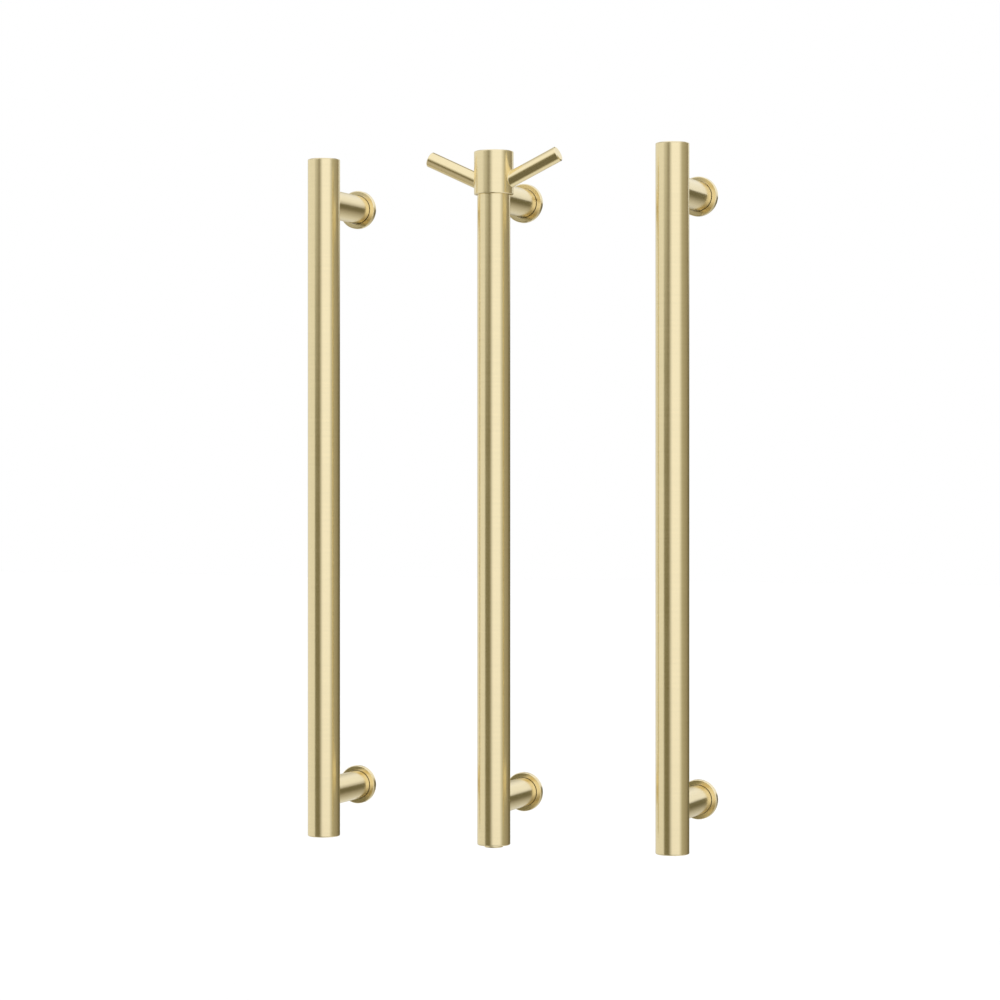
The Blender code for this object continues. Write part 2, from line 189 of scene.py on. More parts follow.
# Ways that a piece or a drill is turned: its Z axis into the room, or in a piece's own axes towards the
# wall or the floor
FACING_ROOM = (math.pi / 2, 0.0, 0.0)
TOWARDS_WALL = Matrix.Rotation(-math.pi / 2, 4, "X")
TOWARDS_FLOOR = Matrix.Rotation(math.pi / 2, 4, "X")


# ---------------------------------------------------------------- node trees


def add_node(tree, kind, inputs=None, **settings):
    """A node with its settings, and its inputs by name or number.

    An input is a value or another node's socket.
    """
    made = tree.nodes.new(kind)
    for key, value in settings.items():
        setattr(made, key, value)
    for key, value in (inputs or {}).items():
        if isinstance(value, bpy.types.NodeSocket):
            tree.links.new(value, made.inputs[key])
        else:
            made.inputs[key].default_value = value
    return made


def calculate(tree, operation, *values):
    return add_node(tree, "ShaderNodeMath", dict(enumerate(values)), operation=operation).outputs[0]


def rescale(tree, value, low, high, to_low, to_high, smooth=False):
    inputs = {"Value": value, "From Min": low, "From Max": high, "To Min": to_low, "To Max": to_high}
    kind = "SMOOTHSTEP" if smooth else "LINEAR"
    return add_node(tree, "ShaderNodeMapRange", inputs, interpolation_type=kind).outputs["Result"]


def scaled(colour, factor):
    """An opaque colour, made darker or lighter by a factor."""
    return (*[min(1.0, channel * factor) for channel in colour], 1.0)


def mix_colours(tree, factor, first, second):
    made = add_node(tree, "ShaderNodeMix", data_type="RGBA")
    sockets = {"Factor_Float": factor, "A_Color": first, "B_Color": second}
    for identifier, value in sockets.items():
        socket = next(item for item in made.inputs if item.identifier == identifier)
        if isinstance(value, bpy.types.NodeSocket):
            tree.links.new(value, socket)
        else:
            socket.default_value = value
    return next(item for item in made.outputs if item.identifier == "Result_Color")


def stretched_noise(tree, place, stretch, detail=2.0, roughness=0.5):
    """Noise from 0 to 1 whose cells are 1/stretch metres in each direction of the piece's own axes."""
    stretched = add_node(tree, "ShaderNodeMapping", {"Vector": place, "Scale": stretch}).outputs["Vector"]
    inputs = {"Vector": stretched, "Scale": 1.0, "Detail": detail, "Roughness": roughness}
    return add_node(tree, "ShaderNodeTexNoise", inputs).outputs["Fac"]


def new_material(name):
    """A material with its Principled shader, and the piece's own coordinates, shifted by chance per piece."""
    material = bpy.data.materials.new(name)
    material.use_nodes = True
    tree = material.node_tree
    tree.nodes.clear()
    shader = add_node(tree, "ShaderNodeBsdfPrincipled")
    add_node(tree, "ShaderNodeOutputMaterial", {"Surface": shader.outputs["BSDF"]})
    own = add_node(tree, "ShaderNodeTexCoord").outputs["Object"]
    chance = add_node(tree, "ShaderNodeObjectInfo").outputs["Random"]
    shift = add_node(tree, "ShaderNodeCombineXYZ", {"Z": chance}).outputs["Vector"]
    place = add_node(tree, "ShaderNodeVectorMath", {0: own, 1: shift}, operation="ADD").outputs["Vector"]
    return material, tree, shader, place


# ----------------------------------------------------------------- materials

# How finely each noise repeats, per metre in a piece's own axes
GRAIN = (26.0, 26.0, 2600.0)
STREAKS = (9.0, 9.0, 320.0)
SMUDGES = (24.0, 24.0, 24.0)
MOULD_CLOUDS = (90.0, 90.0, 90.0)
MOULD_PORES = (2400.0, 2400.0, 2400.0)
TEMPER_PATCHES = (30.0, 30.0, 12.0)
SHEATH_GRAIN = (60.0, 60.0, 2000.0)

# Most values of a noise lie between these two
NOISE_LOW = 0.3
NOISE_HIGH = 0.7

# Brushed metal
GRAIN_SHARE = 0.6
BRUSHING_DEPTH = 0.000004
SMUDGE_LOW = 0.35
SMUDGE_HIGH = 0.6
LEAST_WEAR = 0.25
WORN_LIGHTENING = 0.35
WORN_SHARE = 0.5
WORN_POLISH = 0.05

# Moulded plastic and rubber
CLOUD_DARK = 0.82
CLOUD_LIGHT = 1.15
PORE_DEPTH = 0.00005
PORE_STRENGTH = 0.6
PORE_ROUGHNESS = 0.08

# Heated steel: the cool and the straw-coloured patches, and the least and most rough
TEMPER_COOL = (0.30, 0.30, 0.32, 1.0)
TEMPER_STRAW = (0.42, 0.35, 0.25, 1.0)
TEMPER_FROM = 0.35
TEMPER_TO = 0.65
SHEATH_SMOOTH = 0.38
SHEATH_ROUGH = 0.52


def over_noise(tree, noise, to_low, to_high):
    """A noise's usual range, spread from one value to another."""
    return rescale(tree, noise, NOISE_LOW, NOISE_HIGH, to_low, to_high)


def brushed_metal(name, colour, roughness, tint=0.03, spread=0.03):
    """Metal brushed round its axis.

    It has fine rings in its colour, gloss and relief, soft smudges, and brighter worn edges.
    """
    material, tree, shader, place = new_material(name)
    grain = stretched_noise(tree, place, GRAIN, 3.0, 0.65)
    streaks = stretched_noise(tree, place, STREAKS, 2.0)
    smudges = stretched_noise(tree, place, SMUDGES, 4.0, 0.6)
    wear = add_node(tree, "ShaderNodeAttribute", attribute_name="edge_wear").outputs["Fac"]
    patchy = rescale(tree, smudges, SMUDGE_LOW, SMUDGE_HIGH, LEAST_WEAR, 1.0)
    wear = calculate(tree, "MULTIPLY", wear, patchy)
    grain = calculate(tree, "MULTIPLY", grain, GRAIN_SHARE)
    streaks = calculate(tree, "MULTIPLY", streaks, 1.0 - GRAIN_SHARE)
    lines = calculate(tree, "ADD", grain, streaks)
    darker = scaled(colour, 1.0 - tint)
    lighter = scaled(colour, 1.0 + tint)
    base = mix_colours(tree, over_noise(tree, lines, 0.0, 1.0), darker, lighter)
    worn = (*[channel + (1.0 - channel) * WORN_LIGHTENING for channel in colour], 1.0)
    base = mix_colours(tree, calculate(tree, "MULTIPLY", wear, WORN_SHARE), base, worn)
    tree.links.new(base, shader.inputs["Base Color"])
    gloss = over_noise(tree, lines, roughness - spread / 2, roughness + spread / 2)
    gloss = calculate(tree, "ADD", gloss, over_noise(tree, smudges, -spread / 2, spread / 2))
    gloss = calculate(tree, "SUBTRACT", gloss, calculate(tree, "MULTIPLY", wear, WORN_POLISH))
    tree.links.new(gloss, shader.inputs["Roughness"])
    relief = add_node(tree, "ShaderNodeBump", {"Strength": 1.0, "Distance": BRUSHING_DEPTH, "Height": lines})
    tree.links.new(relief.outputs["Normal"], shader.inputs["Normal"])
    shader.inputs["Metallic"].default_value = 1.0
    return material


def moulded(name, colour, roughness, sheen=0.0):
    """Plastic or rubber with a fine moulded texture, cloudy in its colour and gloss."""
    material, tree, shader, place = new_material(name)
    clouds = stretched_noise(tree, place, MOULD_CLOUDS, 4.0, 0.6)
    pores = stretched_noise(tree, place, MOULD_PORES, 2.0)
    base = mix_colours(tree, clouds, scaled(colour, CLOUD_DARK), scaled(colour, CLOUD_LIGHT))
    tree.links.new(base, shader.inputs["Base Color"])
    gloss = over_noise(tree, pores, roughness - PORE_ROUGHNESS, roughness + PORE_ROUGHNESS)
    tree.links.new(gloss, shader.inputs["Roughness"])
    inputs = {"Strength": PORE_STRENGTH, "Distance": PORE_DEPTH, "Height": pores}
    relief = add_node(tree, "ShaderNodeBump", inputs)
    tree.links.new(relief.outputs["Normal"], shader.inputs["Normal"])
    shader.inputs["Sheen Weight"].default_value = sheen
    return material


def heated_sheath(name):
    """Steel sheath with straw-coloured patches along it, from its heat."""
    material, tree, shader, place = new_material(name)
    patches = stretched_noise(tree, place, TEMPER_PATCHES, 5.0, 0.6)
    grain = stretched_noise(tree, place, SHEATH_GRAIN, 2.0)
    ramp_node = add_node(tree, "ShaderNodeValToRGB", {"Fac": patches})
    cool, straw = ramp_node.color_ramp.elements
    cool.position = TEMPER_FROM
    cool.color = TEMPER_COOL
    straw.position = TEMPER_TO
    straw.color = TEMPER_STRAW
    tree.links.new(ramp_node.outputs["Color"], shader.inputs["Base Color"])
    tree.links.new(over_noise(tree, grain, SHEATH_SMOOTH, SHEATH_ROUGH), shader.inputs["Roughness"])
    shader.inputs["Metallic"].default_value = 1.0
    return material


BRASS = (0.92, 0.80, 0.515)
BUTTON_BRASS = (0.90, 0.775, 0.49)
STEEL = (0.56, 0.56, 0.57)
MATERIALS = {
    "brass_bar": brushed_metal("brushed_brass", BRASS, 0.2),
    "brass_fitting": brushed_metal("brushed_brass_fitting", BRASS, 0.2),
    "button_brass": brushed_metal("brushed_brass_button", BUTTON_BRASS, 0.22),
    "plain_steel": brushed_metal("bright_zinc_steel", STEEL, 0.3, tint=0.08, spread=0.1),
    "heater_sheath": heated_sheath("heated_steel_sheath"),
    "switch_housing": moulded("black_switch_housing", (0.03, 0.03, 0.03), 0.5),
    "silicone_lead": moulded("silicone_insulation", (0.62, 0.60, 0.56), 0.6, sheen=0.2),
}


# -------------------------------------------------------------- mesh building


def rounded(corners):
    """Outline points from (radius, height, rounding) corners, each rounded corner as an arc."""
    points = []
    for index, (radius, height, rounding) in enumerate(corners):
        here = Vector((radius, height))
        if rounding == 0.0:
            points.append(here)
            continue
        to_before = (Vector(corners[index - 1][:2]) - here).normalized()
        to_after = (Vector(corners[(index + 1) % len(corners)][:2]) - here).normalized()
        half = to_before.angle(to_after) / 2
        reach = rounding / math.tan(half)
        centre = here + (to_before + to_after).normalized() * rounding / math.sin(half)
        start = (here + to_before * reach - centre) / rounding
        end = (here + to_after * reach - centre) / rounding
        steps = max(2, round(math.degrees(start.angle(end)) / DEGREES_PER_STEP))
        points += [centre + start.slerp(end, step / steps) * rounding for step in range(steps + 1)]
    return points


def supported(points, closed):
    """Adds a point near both ends of each long straight, which keeps an edge's smooth shading next to it."""
    pairs = list(zip(points, points[1:] + points[:1]))
    result = []
    for index, (start, end) in enumerate(pairs):
        result.append(start)
        length = (end - start).length
        last = index == len(pairs) - 1
        if length > 4 * SUPPORT and (closed or not last):
            step = (end - start) * (SUPPORT / length)
            result += [start + step, end - step]
    return result


def turned(corners, sides):
    """A bmesh turned about Z. The outline is a closed loop, or a chain with both ends on the axis."""
    solid = corners[0][0] == 0.0
    points = supported(rounded(corners), not solid)
    if solid:
        points = points[1:-1]
    made = bmesh.new()
    turns = [2 * math.pi * index / sides for index in range(sides)]
    rings = [[made.verts.new((p.x * math.cos(a), p.x * math.sin(a), p.y)) for a in turns] for p in points]
    joined = list(zip(rings, rings[1:]))
    if not solid:
        joined.append((rings[-1], rings[0]))
    for lower, upper in joined:
        for index in range(sides):
            after = (index + 1) % sides
            made.faces.new((lower[index], lower[after], upper[after], upper[index]))
    if solid:
        made.faces.new(rings[0])
        made.faces.new(rings[-1])
    bmesh.ops.recalc_face_normals(made, faces=made.faces)
    return made


def finished_mesh(name, made):
    """The mesh, smooth except at true edges, with how much each vertex's edges are worn."""
    for face in made.faces:
        face.smooth = True
    layer = made.verts.layers.float.new("edge_wear")
    for vert in made.verts:
        bends = [edge.calc_face_angle_signed(0.0) for edge in vert.link_edges]
        vert[layer] = 1.0 if max(bends) > WORN_ANGLE else 0.0
    mesh = bpy.data.meshes.new(name)
    made.to_mesh(mesh)
    made.free()
    mesh.set_sharp_from_angle(angle=SHARP_ANGLE)
    return mesh


def drilled(made, *cutters):
    """Cuts each cutter, a bmesh and the place where it goes, from a bmesh."""
    target = bpy.data.objects.new("drilled", bpy.data.meshes.new("drilled"))
    made.to_mesh(target.data)
    made.free()
    bpy.context.scene.collection.objects.link(target)
    tools = []
    for cutter, matrix in cutters:
        tool = bpy.data.objects.new("drill", bpy.data.meshes.new("drill"))
        cutter.to_mesh(tool.data)
        cutter.free()
        bpy.context.scene.collection.objects.link(tool)
        tool.matrix_world = matrix
        boolean = target.modifiers.new("drill", "BOOLEAN")
        boolean.operation = "DIFFERENCE"
        boolean.solver = "EXACT"
        boolean.object = tool
        tools.append(tool)
    bpy.context.view_layer.update()
    result = bmesh.new()
    result.from_object(target, bpy.context.evaluated_depsgraph_get())
    for used in [target, *tools]:
        mesh = used.data
        bpy.data.objects.remove(used)
        bpy.data.meshes.remove(mesh)
    return result


def show(node, mesh, location, rotation=(0.0, 0.0, 0.0)):
    """Puts a fine mesh in the place of a CAD node, on that node's body and with that node's finish."""
    piece = bpy.data.objects.new(f"{node}_fine", mesh)
    piece.location = location
    piece.rotation_euler = rotation
    bpy.context.scene.collection.objects.link(piece)
    if not mesh.materials:
        mesh.materials.append(MATERIALS[SLOTS[node]])
    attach(piece, frame["nodes"][node]["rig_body"])
    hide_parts(node)
    return piece


def swept(points, radius, sides):
    """A tube along the points, closed with a flat face at each end."""
    made = bmesh.new()
    rings = []
    across = None
    for index, point in enumerate(points):
        along = (points[min(index + 1, len(points) - 1)] - points[max(index - 1, 0)]).normalized()
        across = along.orthogonal() if across is None else across - along * across.dot(along)
        across = across.normalized()
        beside = along.cross(across)
        turns = [2 * math.pi * step / sides for step in range(sides)]
        spokes = [across * math.cos(turn) + beside * math.sin(turn) for turn in turns]
        rings.append([made.verts.new(point + spoke * radius) for spoke in spokes])
    for lower, upper in zip(rings, rings[1:]):
        for index in range(sides):
            after = (index + 1) % sides
            made.faces.new((lower[index], lower[after], upper[after], upper[index]))
    made.faces.new(rings[0])
    made.faces.new(rings[-1])
    bmesh.ops.recalc_face_normals(made, faces=made.faces)
    return made


def arc(radius, height, size, start, end):
    """Outline corners on an arc of this size about (radius, height), from start to end in degrees."""
    steps = round(abs(end - start) / DEGREES_PER_STEP)
    angles = [math.radians(start + (end - start) * step / steps) for step in range(steps + 1)]
    return [(radius + size * math.cos(angle), height + size * math.sin(angle), 0.0) for angle in angles]


def rod(radius, bottom, top, sides):
    return turned([(0.0, bottom, 0.0), (radius, bottom, 0.0), (radius, top, 0.0), (0.0, top, 0.0)], sides)


def smooth_route(points, step):
    """Points about a step apart on a Catmull-Rom curve through the route's own points."""
    points = [Vector(point) for point in points]
    ends = [2 * points[0] - points[1], *points, 2 * points[-1] - points[-2]]
    route = [points[0]]
    for before, start, end, after in zip(ends, ends[1:], ends[2:], ends[3:]):
        count = max(1, round((end - start).length / step))
        for index in range(1, count + 1):
            t = index / count
            middle = (2 * before - 5 * start + 4 * end - after) * t**2
            last = (3 * start - before - 3 * end + after) * t**3
            route.append(0.5 * (2 * start + (end - before) * t + middle + last))
    return route


def box_of(node):
    """A node's lowest corner, highest corner and centre."""
    lowest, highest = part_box(node)
    return lowest, highest, (lowest + highest) / 2


# --------------------------------------------------------------------- bars


def bar_tube(side):
    """A drawn tube with softened ends and the leads' hole, which opens into the lower post."""
    node = f"{side}_bar_tube"
    lowest, highest, middle = box_of(node)
    radius = (highest.x - lowest.x) / 2
    bore = radius - BAR_WALL
    bottom = lowest.z - GAP + SEAM
    length = highest.z + GAP - SEAM - bottom
    hole = box_of(f"{side}_lower_post")[2].z - bottom
    band = [hole - LEAD_HOLE_BAND, hole + LEAD_HOLE_BAND]
    corners = [(bore, 0.0, 0.0), (radius, 0.0, SEAM_ROUNDING)]
    corners += [(radius, height, 0.0) for height in band]
    corners += [(radius, length, SEAM_ROUNDING), (bore, length, 0.0)]
    corners += [(bore, height, 0.0) for height in reversed(band)]
    drill = rod(LEAD_HOLE_RADIUS, bore / 2, 2 * radius, SCREW_SIDES)
    made = drilled(turned(corners, BAR_SIDES), (drill, Matrix.Translation((0.0, 0.0, hole)) @ TOWARDS_WALL))
    show(node, finished_mesh(node, made), (middle.x, middle.y, bottom))


def end_cap(node, side, bore=0.0):
    """A cap with a bevelled rim and a spigot inside the tube, here with its outer face at height 0.

    A cap with a bore is a ring round the button, with a hollow spigot.
    """
    lowest, highest, middle = box_of(node)
    tube_low, tube_high, _ = box_of(f"{side}_bar_tube")
    top = middle.z > (tube_low.z + tube_high.z) / 2
    radius = (highest.x - lowest.x) / 2
    rim = (highest.z - tube_high.z if top else tube_low.z - lowest.z) - GAP
    spigot = radius - BAR_WALL - GAP
    depth = highest.z - lowest.z
    corners = [
        (radius - EDGE_BEVEL, 0.0, BEVEL_ROUNDING),
        (radius, EDGE_BEVEL, BEVEL_ROUNDING),
        (radius, rim, SEAM_ROUNDING),
        (spigot, rim, 0.0),
        (spigot, depth, SPIGOT_ROUNDING),
    ]
    if bore:
        hollow = (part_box("button_cap")[1].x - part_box("button_cap")[0].x) / 2 + SPIGOT_CLEARANCE
        corners = [(bore, 0.0, BEVEL_ROUNDING), *corners]
        corners += [(hollow, depth, 0.0), (hollow, CAP_FLOOR, 0.0), (bore, CAP_FLOOR, 0.0)]
    else:
        corners = [(0.0, 0.0, 0.0), *corners, (0.0, depth, 0.0)]
    mesh = finished_mesh(node, turned(corners, BAR_SIDES))
    if top:
        show(node, mesh, (middle.x, middle.y, highest.z), (math.pi, 0.0, 0.0))
    else:
        show(node, mesh, (middle.x, middle.y, lowest.z))


def heating_element(side):
    """A cartridge heater with rounded ends and two spacer discs."""
    node = f"{side}_heating_element"
    lowest, highest, middle = box_of(node)
    spacer = (highest.x - lowest.x) / 2
    length = highest.z - lowest.z
    corners = [(0.0, 0.0, 0.0), (ELEMENT_RADIUS, 0.0, ELEMENT_ROUNDING)]
    for base in (SPACER_INSET, length - SPACER_INSET):
        corners += [
            (ELEMENT_RADIUS, base, 0.0),
            (spacer, base, SPIGOT_ROUNDING),
            (spacer, base + SPACER_THICKNESS, SPIGOT_ROUNDING),
            (ELEMENT_RADIUS, base + SPACER_THICKNESS, 0.0),
        ]
    corners += [(ELEMENT_RADIUS, length, ELEMENT_ROUNDING), (0.0, length, 0.0)]
    show(node, finished_mesh(node, turned(corners, SCREW_SIDES)), (middle.x, middle.y, lowest.z))


def lead(node, rises):
    """A lead from inside the bar, round one bend and back to the wall plate's cable hole."""
    lowest, highest, middle = box_of(node)
    start = lowest.z if rises else highest.z
    level = highest.z - LEAD_RADIUS if rises else lowest.z + LEAD_RADIUS
    towards = 1.0 if rises else -1.0
    axis_y = lowest.y + LEAD_RADIUS
    quarter = LEAD_BEND * (1.0 - math.cos(math.pi / 4))
    route = [
        (0.0, 0.0, start),
        (0.0, 0.0, level - towards * LEAD_BEND),
        (0.0, quarter, level - towards * quarter),
        (0.0, LEAD_BEND, level),
        (0.0, -0.5 * axis_y, level),
        (0.0, highest.y - axis_y, level),
    ]
    mesh = finished_mesh(node, swept(smooth_route(route, LEAD_STEP), LEAD_RADIUS, WIRE_SIDES))
    show(node, mesh, (middle.x, axis_y, 0.0))


# -------------------------------------------------------------- wall mounts


def post(side, level):
    """A tube from the wall plate to the bar, its front end shaped to the bar's back and brazed round it."""
    node = f"{side}_{level}_post"
    lowest, highest, middle = box_of(node)
    bar_low, bar_high, bar_middle = box_of(f"{side}_bar_tube")
    bar_radius = (bar_high.x - bar_low.x) / 2 - SADDLE_SINK
    radius = (highest.x - lowest.x) / 2
    bore = radius - POST_WALL
    wall_end = -highest.y
    front = -bar_middle.y
    band = [GRUB_DISTANCE_FROM_WALL - GRUB_HOLE_BAND, GRUB_DISTANCE_FROM_WALL + GRUB_HOLE_BAND]
    corners = [(bore, wall_end, 0.0), (radius, wall_end, SEAM_ROUNDING)]
    corners += [(radius, height, 0.0) for height in band]
    corners += arc(radius + BRAZING_FILLET, front - BRAZING_FILLET, BRAZING_FILLET, 180.0, 90.0)
    corners += [(bore, front, 0.0)]
    corners += [(bore, height, 0.0) for height in reversed(band)]
    made = turned(corners, POST_SIDES)
    for vert in made.verts:
        if vert.co.z > front / 2:
            vert.co.z -= math.sqrt(bar_radius**2 - vert.co.x**2)
    drill = rod(GRUB_HOLE_RADIUS, bore / 2, 2 * radius, SCREW_SIDES)
    made = drilled(made, (drill, Matrix.Translation((0.0, 0.0, GRUB_DISTANCE_FROM_WALL)) @ TOWARDS_FLOOR))
    show(node, finished_mesh(node, made), (middle.x, 0.0, middle.z), FACING_ROOM)


def flange(side, level):
    """A round cover with a bevelled rim, open in the middle for the post."""
    node = f"{side}_{level}_flange"
    lowest, highest, middle = box_of(node)
    radius = (highest.x - lowest.x) / 2
    thickness = highest.y - lowest.y
    post_low, post_high, _ = box_of(f"{side}_{level}_post")
    bore = (post_high.x - post_low.x) / 2 + FLANGE_CLEARANCE
    plate_low, plate_high, _ = box_of(f"{side}_{level}_wall_plate")
    recess = (plate_high.x - plate_low.x) / 2 + GAP
    depth = PLATE_THICKNESS + GAP
    corners = [
        (recess, 0.0, 0.0),
        (radius, 0.0, SPIGOT_ROUNDING),
        (radius, thickness - EDGE_BEVEL, BEVEL_ROUNDING),
        (radius - EDGE_BEVEL, thickness, BEVEL_ROUNDING),
        (bore, thickness, SEAM_ROUNDING),
        (bore, depth, 0.0),
        (recess, depth, 0.0),
    ]
    show(node, finished_mesh(node, turned(corners, POST_SIDES)), (middle.x, highest.y, middle.z), FACING_ROOM)


def wall_plate(side, level):
    """A disc with a hollow boss, two screw holes and the grub screw's hole.

    The lower mounts' discs also have a cable hole.
    """
    node = f"{side}_{level}_wall_plate"
    lowest, highest, middle = box_of(node)
    radius = (highest.x - lowest.x) / 2
    boss_depth = highest.y - lowest.y
    post_low, post_high, _ = box_of(f"{side}_{level}_post")
    boss = (post_high.x - post_low.x) / 2 - POST_WALL - GAP
    boss_bore = boss - BOSS_WALL
    centre = CABLE_HOLE_RADIUS if level == "lower" else 0.0
    centre_rounding = PLATE_ROUNDING if level == "lower" else 0.0
    corners = [
        (centre, 0.0, centre_rounding),
        (radius, 0.0, PLATE_ROUNDING),
        (radius, PLATE_THICKNESS, PLATE_ROUNDING),
        (boss, PLATE_THICKNESS, 0.0),
        (boss, boss_depth, PLATE_ROUNDING),
        (boss_bore, boss_depth, PLATE_ROUNDING),
        (boss_bore, PLATE_THICKNESS, 0.0),
        (centre, PLATE_THICKNESS, centre_rounding),
    ]
    drills = []
    for number in (1, 2):
        offset = box_of(f"{side}_{level}_wall_screw_{number}")[2].x - middle.x
        drill = rod(SCREW_HOLE_RADIUS, -PLATE_THICKNESS, 2 * PLATE_THICKNESS, SCREW_SIDES)
        drills.append((drill, Matrix.Translation((offset, 0.0, 0.0))))
    drill = rod(GRUB_HOLE_RADIUS, boss_bore / 2, 2 * radius, SCREW_SIDES)
    drills.append((drill, Matrix.Translation((0.0, 0.0, GRUB_DISTANCE_FROM_WALL)) @ TOWARDS_FLOOR))
    made = drilled(turned(corners, PLATE_SIDES), *drills)
    show(node, finished_mesh(node, made), (middle.x, highest.y, middle.z), FACING_ROOM)


# -------------------------------------------------------------------- screws


def hexagon_socket(made, top):
    """Sinks a hexagon socket into a screw's end at this height."""
    cutter = rod(SOCKET_RADIUS, top - SOCKET_DEPTH, top + SOCKET_DEPTH, 6)
    return drilled(made, (cutter, Matrix.Identity(4)))


def wall_screw_mesh():
    """A pan-head screw with a rolled thread, its seat at height 0 and its point below."""
    lowest, highest, _ = box_of("middle_upper_wall_screw_1")
    head = (highest.x - lowest.x) / 2
    reach = highest.y - lowest.y - WALL_SCREW_HEAD_HEIGHT
    point = 2 * WALL_SCREW_SHANK
    thread_top = -THREAD_FREE
    rows = round((reach - point - THREAD_FREE) / THREAD_PITCH * THREAD_ROWS)
    step = (reach - point - THREAD_FREE) / rows
    core = WALL_SCREW_SHANK - THREAD_DEPTH
    corners = [(0.0, -reach, 0.0), (SCREW_POINT_RADIUS, -reach, 0.0)]
    taper = round(point / step)
    for index in range(1, taper):
        share = index / taper
        radius = SCREW_POINT_RADIUS + (core - SCREW_POINT_RADIUS) * share
        corners.append((radius, -reach + point * share, 0.0))
    corners += [(core, -reach + point + index * step, 0.0) for index in range(rows)]
    corners += [
        (core, thread_top, 0.0),
        (core + THREAD_DEPTH / 2, thread_top + THREAD_DEPTH, 0.0),
        (core + THREAD_DEPTH / 2, 0.0, 0.0),
        (head, 0.0, SEAM_ROUNDING),
        (head, WALL_SCREW_HEAD_HEIGHT, WALL_SCREW_HEAD_ROUNDING),
        (0.0, WALL_SCREW_HEAD_HEIGHT, 0.0),
    ]
    made = turned(corners, SCREW_SIDES)
    for vert in made.verts:
        if vert.co.z < thread_top - step / 2:
            turn = math.atan2(vert.co.y, vert.co.x) / (2 * math.pi)
            phase = (vert.co.z / THREAD_PITCH - turn) % 1.0
            ridge = max(0.0, 1.0 - abs(phase - 0.5) * THREAD_STEEPNESS)
            fade = min(1.0, (vert.co.z + reach) / point)
            vert.co.xy *= 1.0 + ridge * fade * THREAD_DEPTH / vert.co.xy.length
    return finished_mesh("wall_screw", hexagon_socket(made, WALL_SCREW_HEAD_HEIGHT))


def wall_screw(node, mesh):
    lowest, _, middle = box_of(node)
    seat = lowest.y + WALL_SCREW_HEAD_HEIGHT
    show(node, mesh, (middle.x, seat, middle.z), FACING_ROOM)


def grub_screw(node, points_down):
    """A headless screw with rounded rims and a hexagon socket in its outer end."""
    lowest, highest, middle = box_of(node)
    radius = (highest.x - lowest.x) / 2
    length = highest.z - lowest.z if points_down else highest.y - lowest.y
    corners = [
        (0.0, 0.0, 0.0),
        (radius, 0.0, GRUB_ROUNDING),
        (radius, length, GRUB_ROUNDING),
        (0.0, length, 0.0),
    ]
    mesh = finished_mesh(node, hexagon_socket(turned(corners, SCREW_SIDES), length))
    if points_down:
        show(node, mesh, (middle.x, middle.y, highest.z), (math.pi, 0.0, 0.0))
    else:
        show(node, mesh, (middle.x, lowest.y, middle.z), (-math.pi / 2, 0.0, 0.0))


# ---------------------------------------------------------------------- hook


def collar():
    """A cup over the bar's top, its back open in a round-topped notch for the post."""
    node = "hook_collar"
    lowest, highest, middle = box_of(node)
    radius = (highest.x - lowest.x) / 2
    height = highest.z - lowest.z
    bar_low, bar_high, _ = box_of("middle_bar_tube")
    inner = (bar_high.x - bar_low.x) / 2 + GAP
    corners = [
        (0.0, height, 0.0),
        (radius - EDGE_BEVEL, height, BEVEL_ROUNDING),
        (radius, height - EDGE_BEVEL, BEVEL_ROUNDING),
        (radius, EDGE_BEVEL, BEVEL_ROUNDING),
        (radius - EDGE_BEVEL, 0.0, BEVEL_ROUNDING),
        (inner, 0.0, SEAM_ROUNDING),
        (inner, height - COLLAR_TOP, SPIGOT_ROUNDING),
        (0.0, height - COLLAR_TOP, 0.0),
    ]
    post_low, post_high, post_middle = box_of("middle_upper_post")
    notch = rod((post_high.x - post_low.x) / 2 + GAP, 0.0, 2 * radius, POST_SIDES)
    notch_place = Matrix.Translation((0.0, 0.0, post_middle.z - lowest.z)) @ TOWARDS_WALL
    hole = rod(GRUB_HOLE_RADIUS, inner / 2, 2 * radius, SCREW_SIDES)
    grub_level = box_of("hook_grub_screw")[2].z - lowest.z
    hole_place = Matrix.Translation((0.0, 0.0, grub_level)) @ TOWARDS_WALL
    made = drilled(turned(corners, BAR_SIDES), (notch, notch_place), (hole, hole_place))
    show(node, finished_mesh(node, made), (middle.x, bar_middle_y(), lowest.z))


def bar_middle_y():
    return box_of("middle_bar_tube")[2].y


def arm(node, turn):
    """A round bar that rises outwards, shaped to the collar at its root and bevelled at its tip."""
    collar_low, collar_high, collar_middle = box_of("hook_collar")
    collar_radius = (collar_high.x - collar_low.x) / 2 - SADDLE_SINK
    corners = [
        (0.0, 0.0, 0.0),
        (ARM_RADIUS / 3, 0.0, 0.0),
        (ARM_RADIUS * 2 / 3, 0.0, 0.0),
        *arc(ARM_RADIUS + ARM_FILLET, ARM_FILLET, ARM_FILLET, 270.0, 180.0),
        (ARM_RADIUS, ARM_REACH - ARM_TIP_BEVEL, BEVEL_ROUNDING),
        (ARM_RADIUS - ARM_TIP_BEVEL, ARM_REACH, BEVEL_ROUNDING),
        (0.0, ARM_REACH, 0.0),
    ]
    made = turned(corners, POST_SIDES)
    for vert in made.verts:
        if vert.co.z < ARM_REACH / 4:
            out = math.sqrt(collar_radius**2 - vert.co.y**2)
            vert.co.z += (out - turn * vert.co.x * math.sin(ARM_RISE)) / math.cos(ARM_RISE)
    root = (collar_middle.x, bar_middle_y(), collar_low.z + ARM_RAISE)
    show(node, finished_mesh(node, made), root, (0.0, turn * (math.pi / 2 - ARM_RISE), 0.0))


# -------------------------------------------------------------- push button


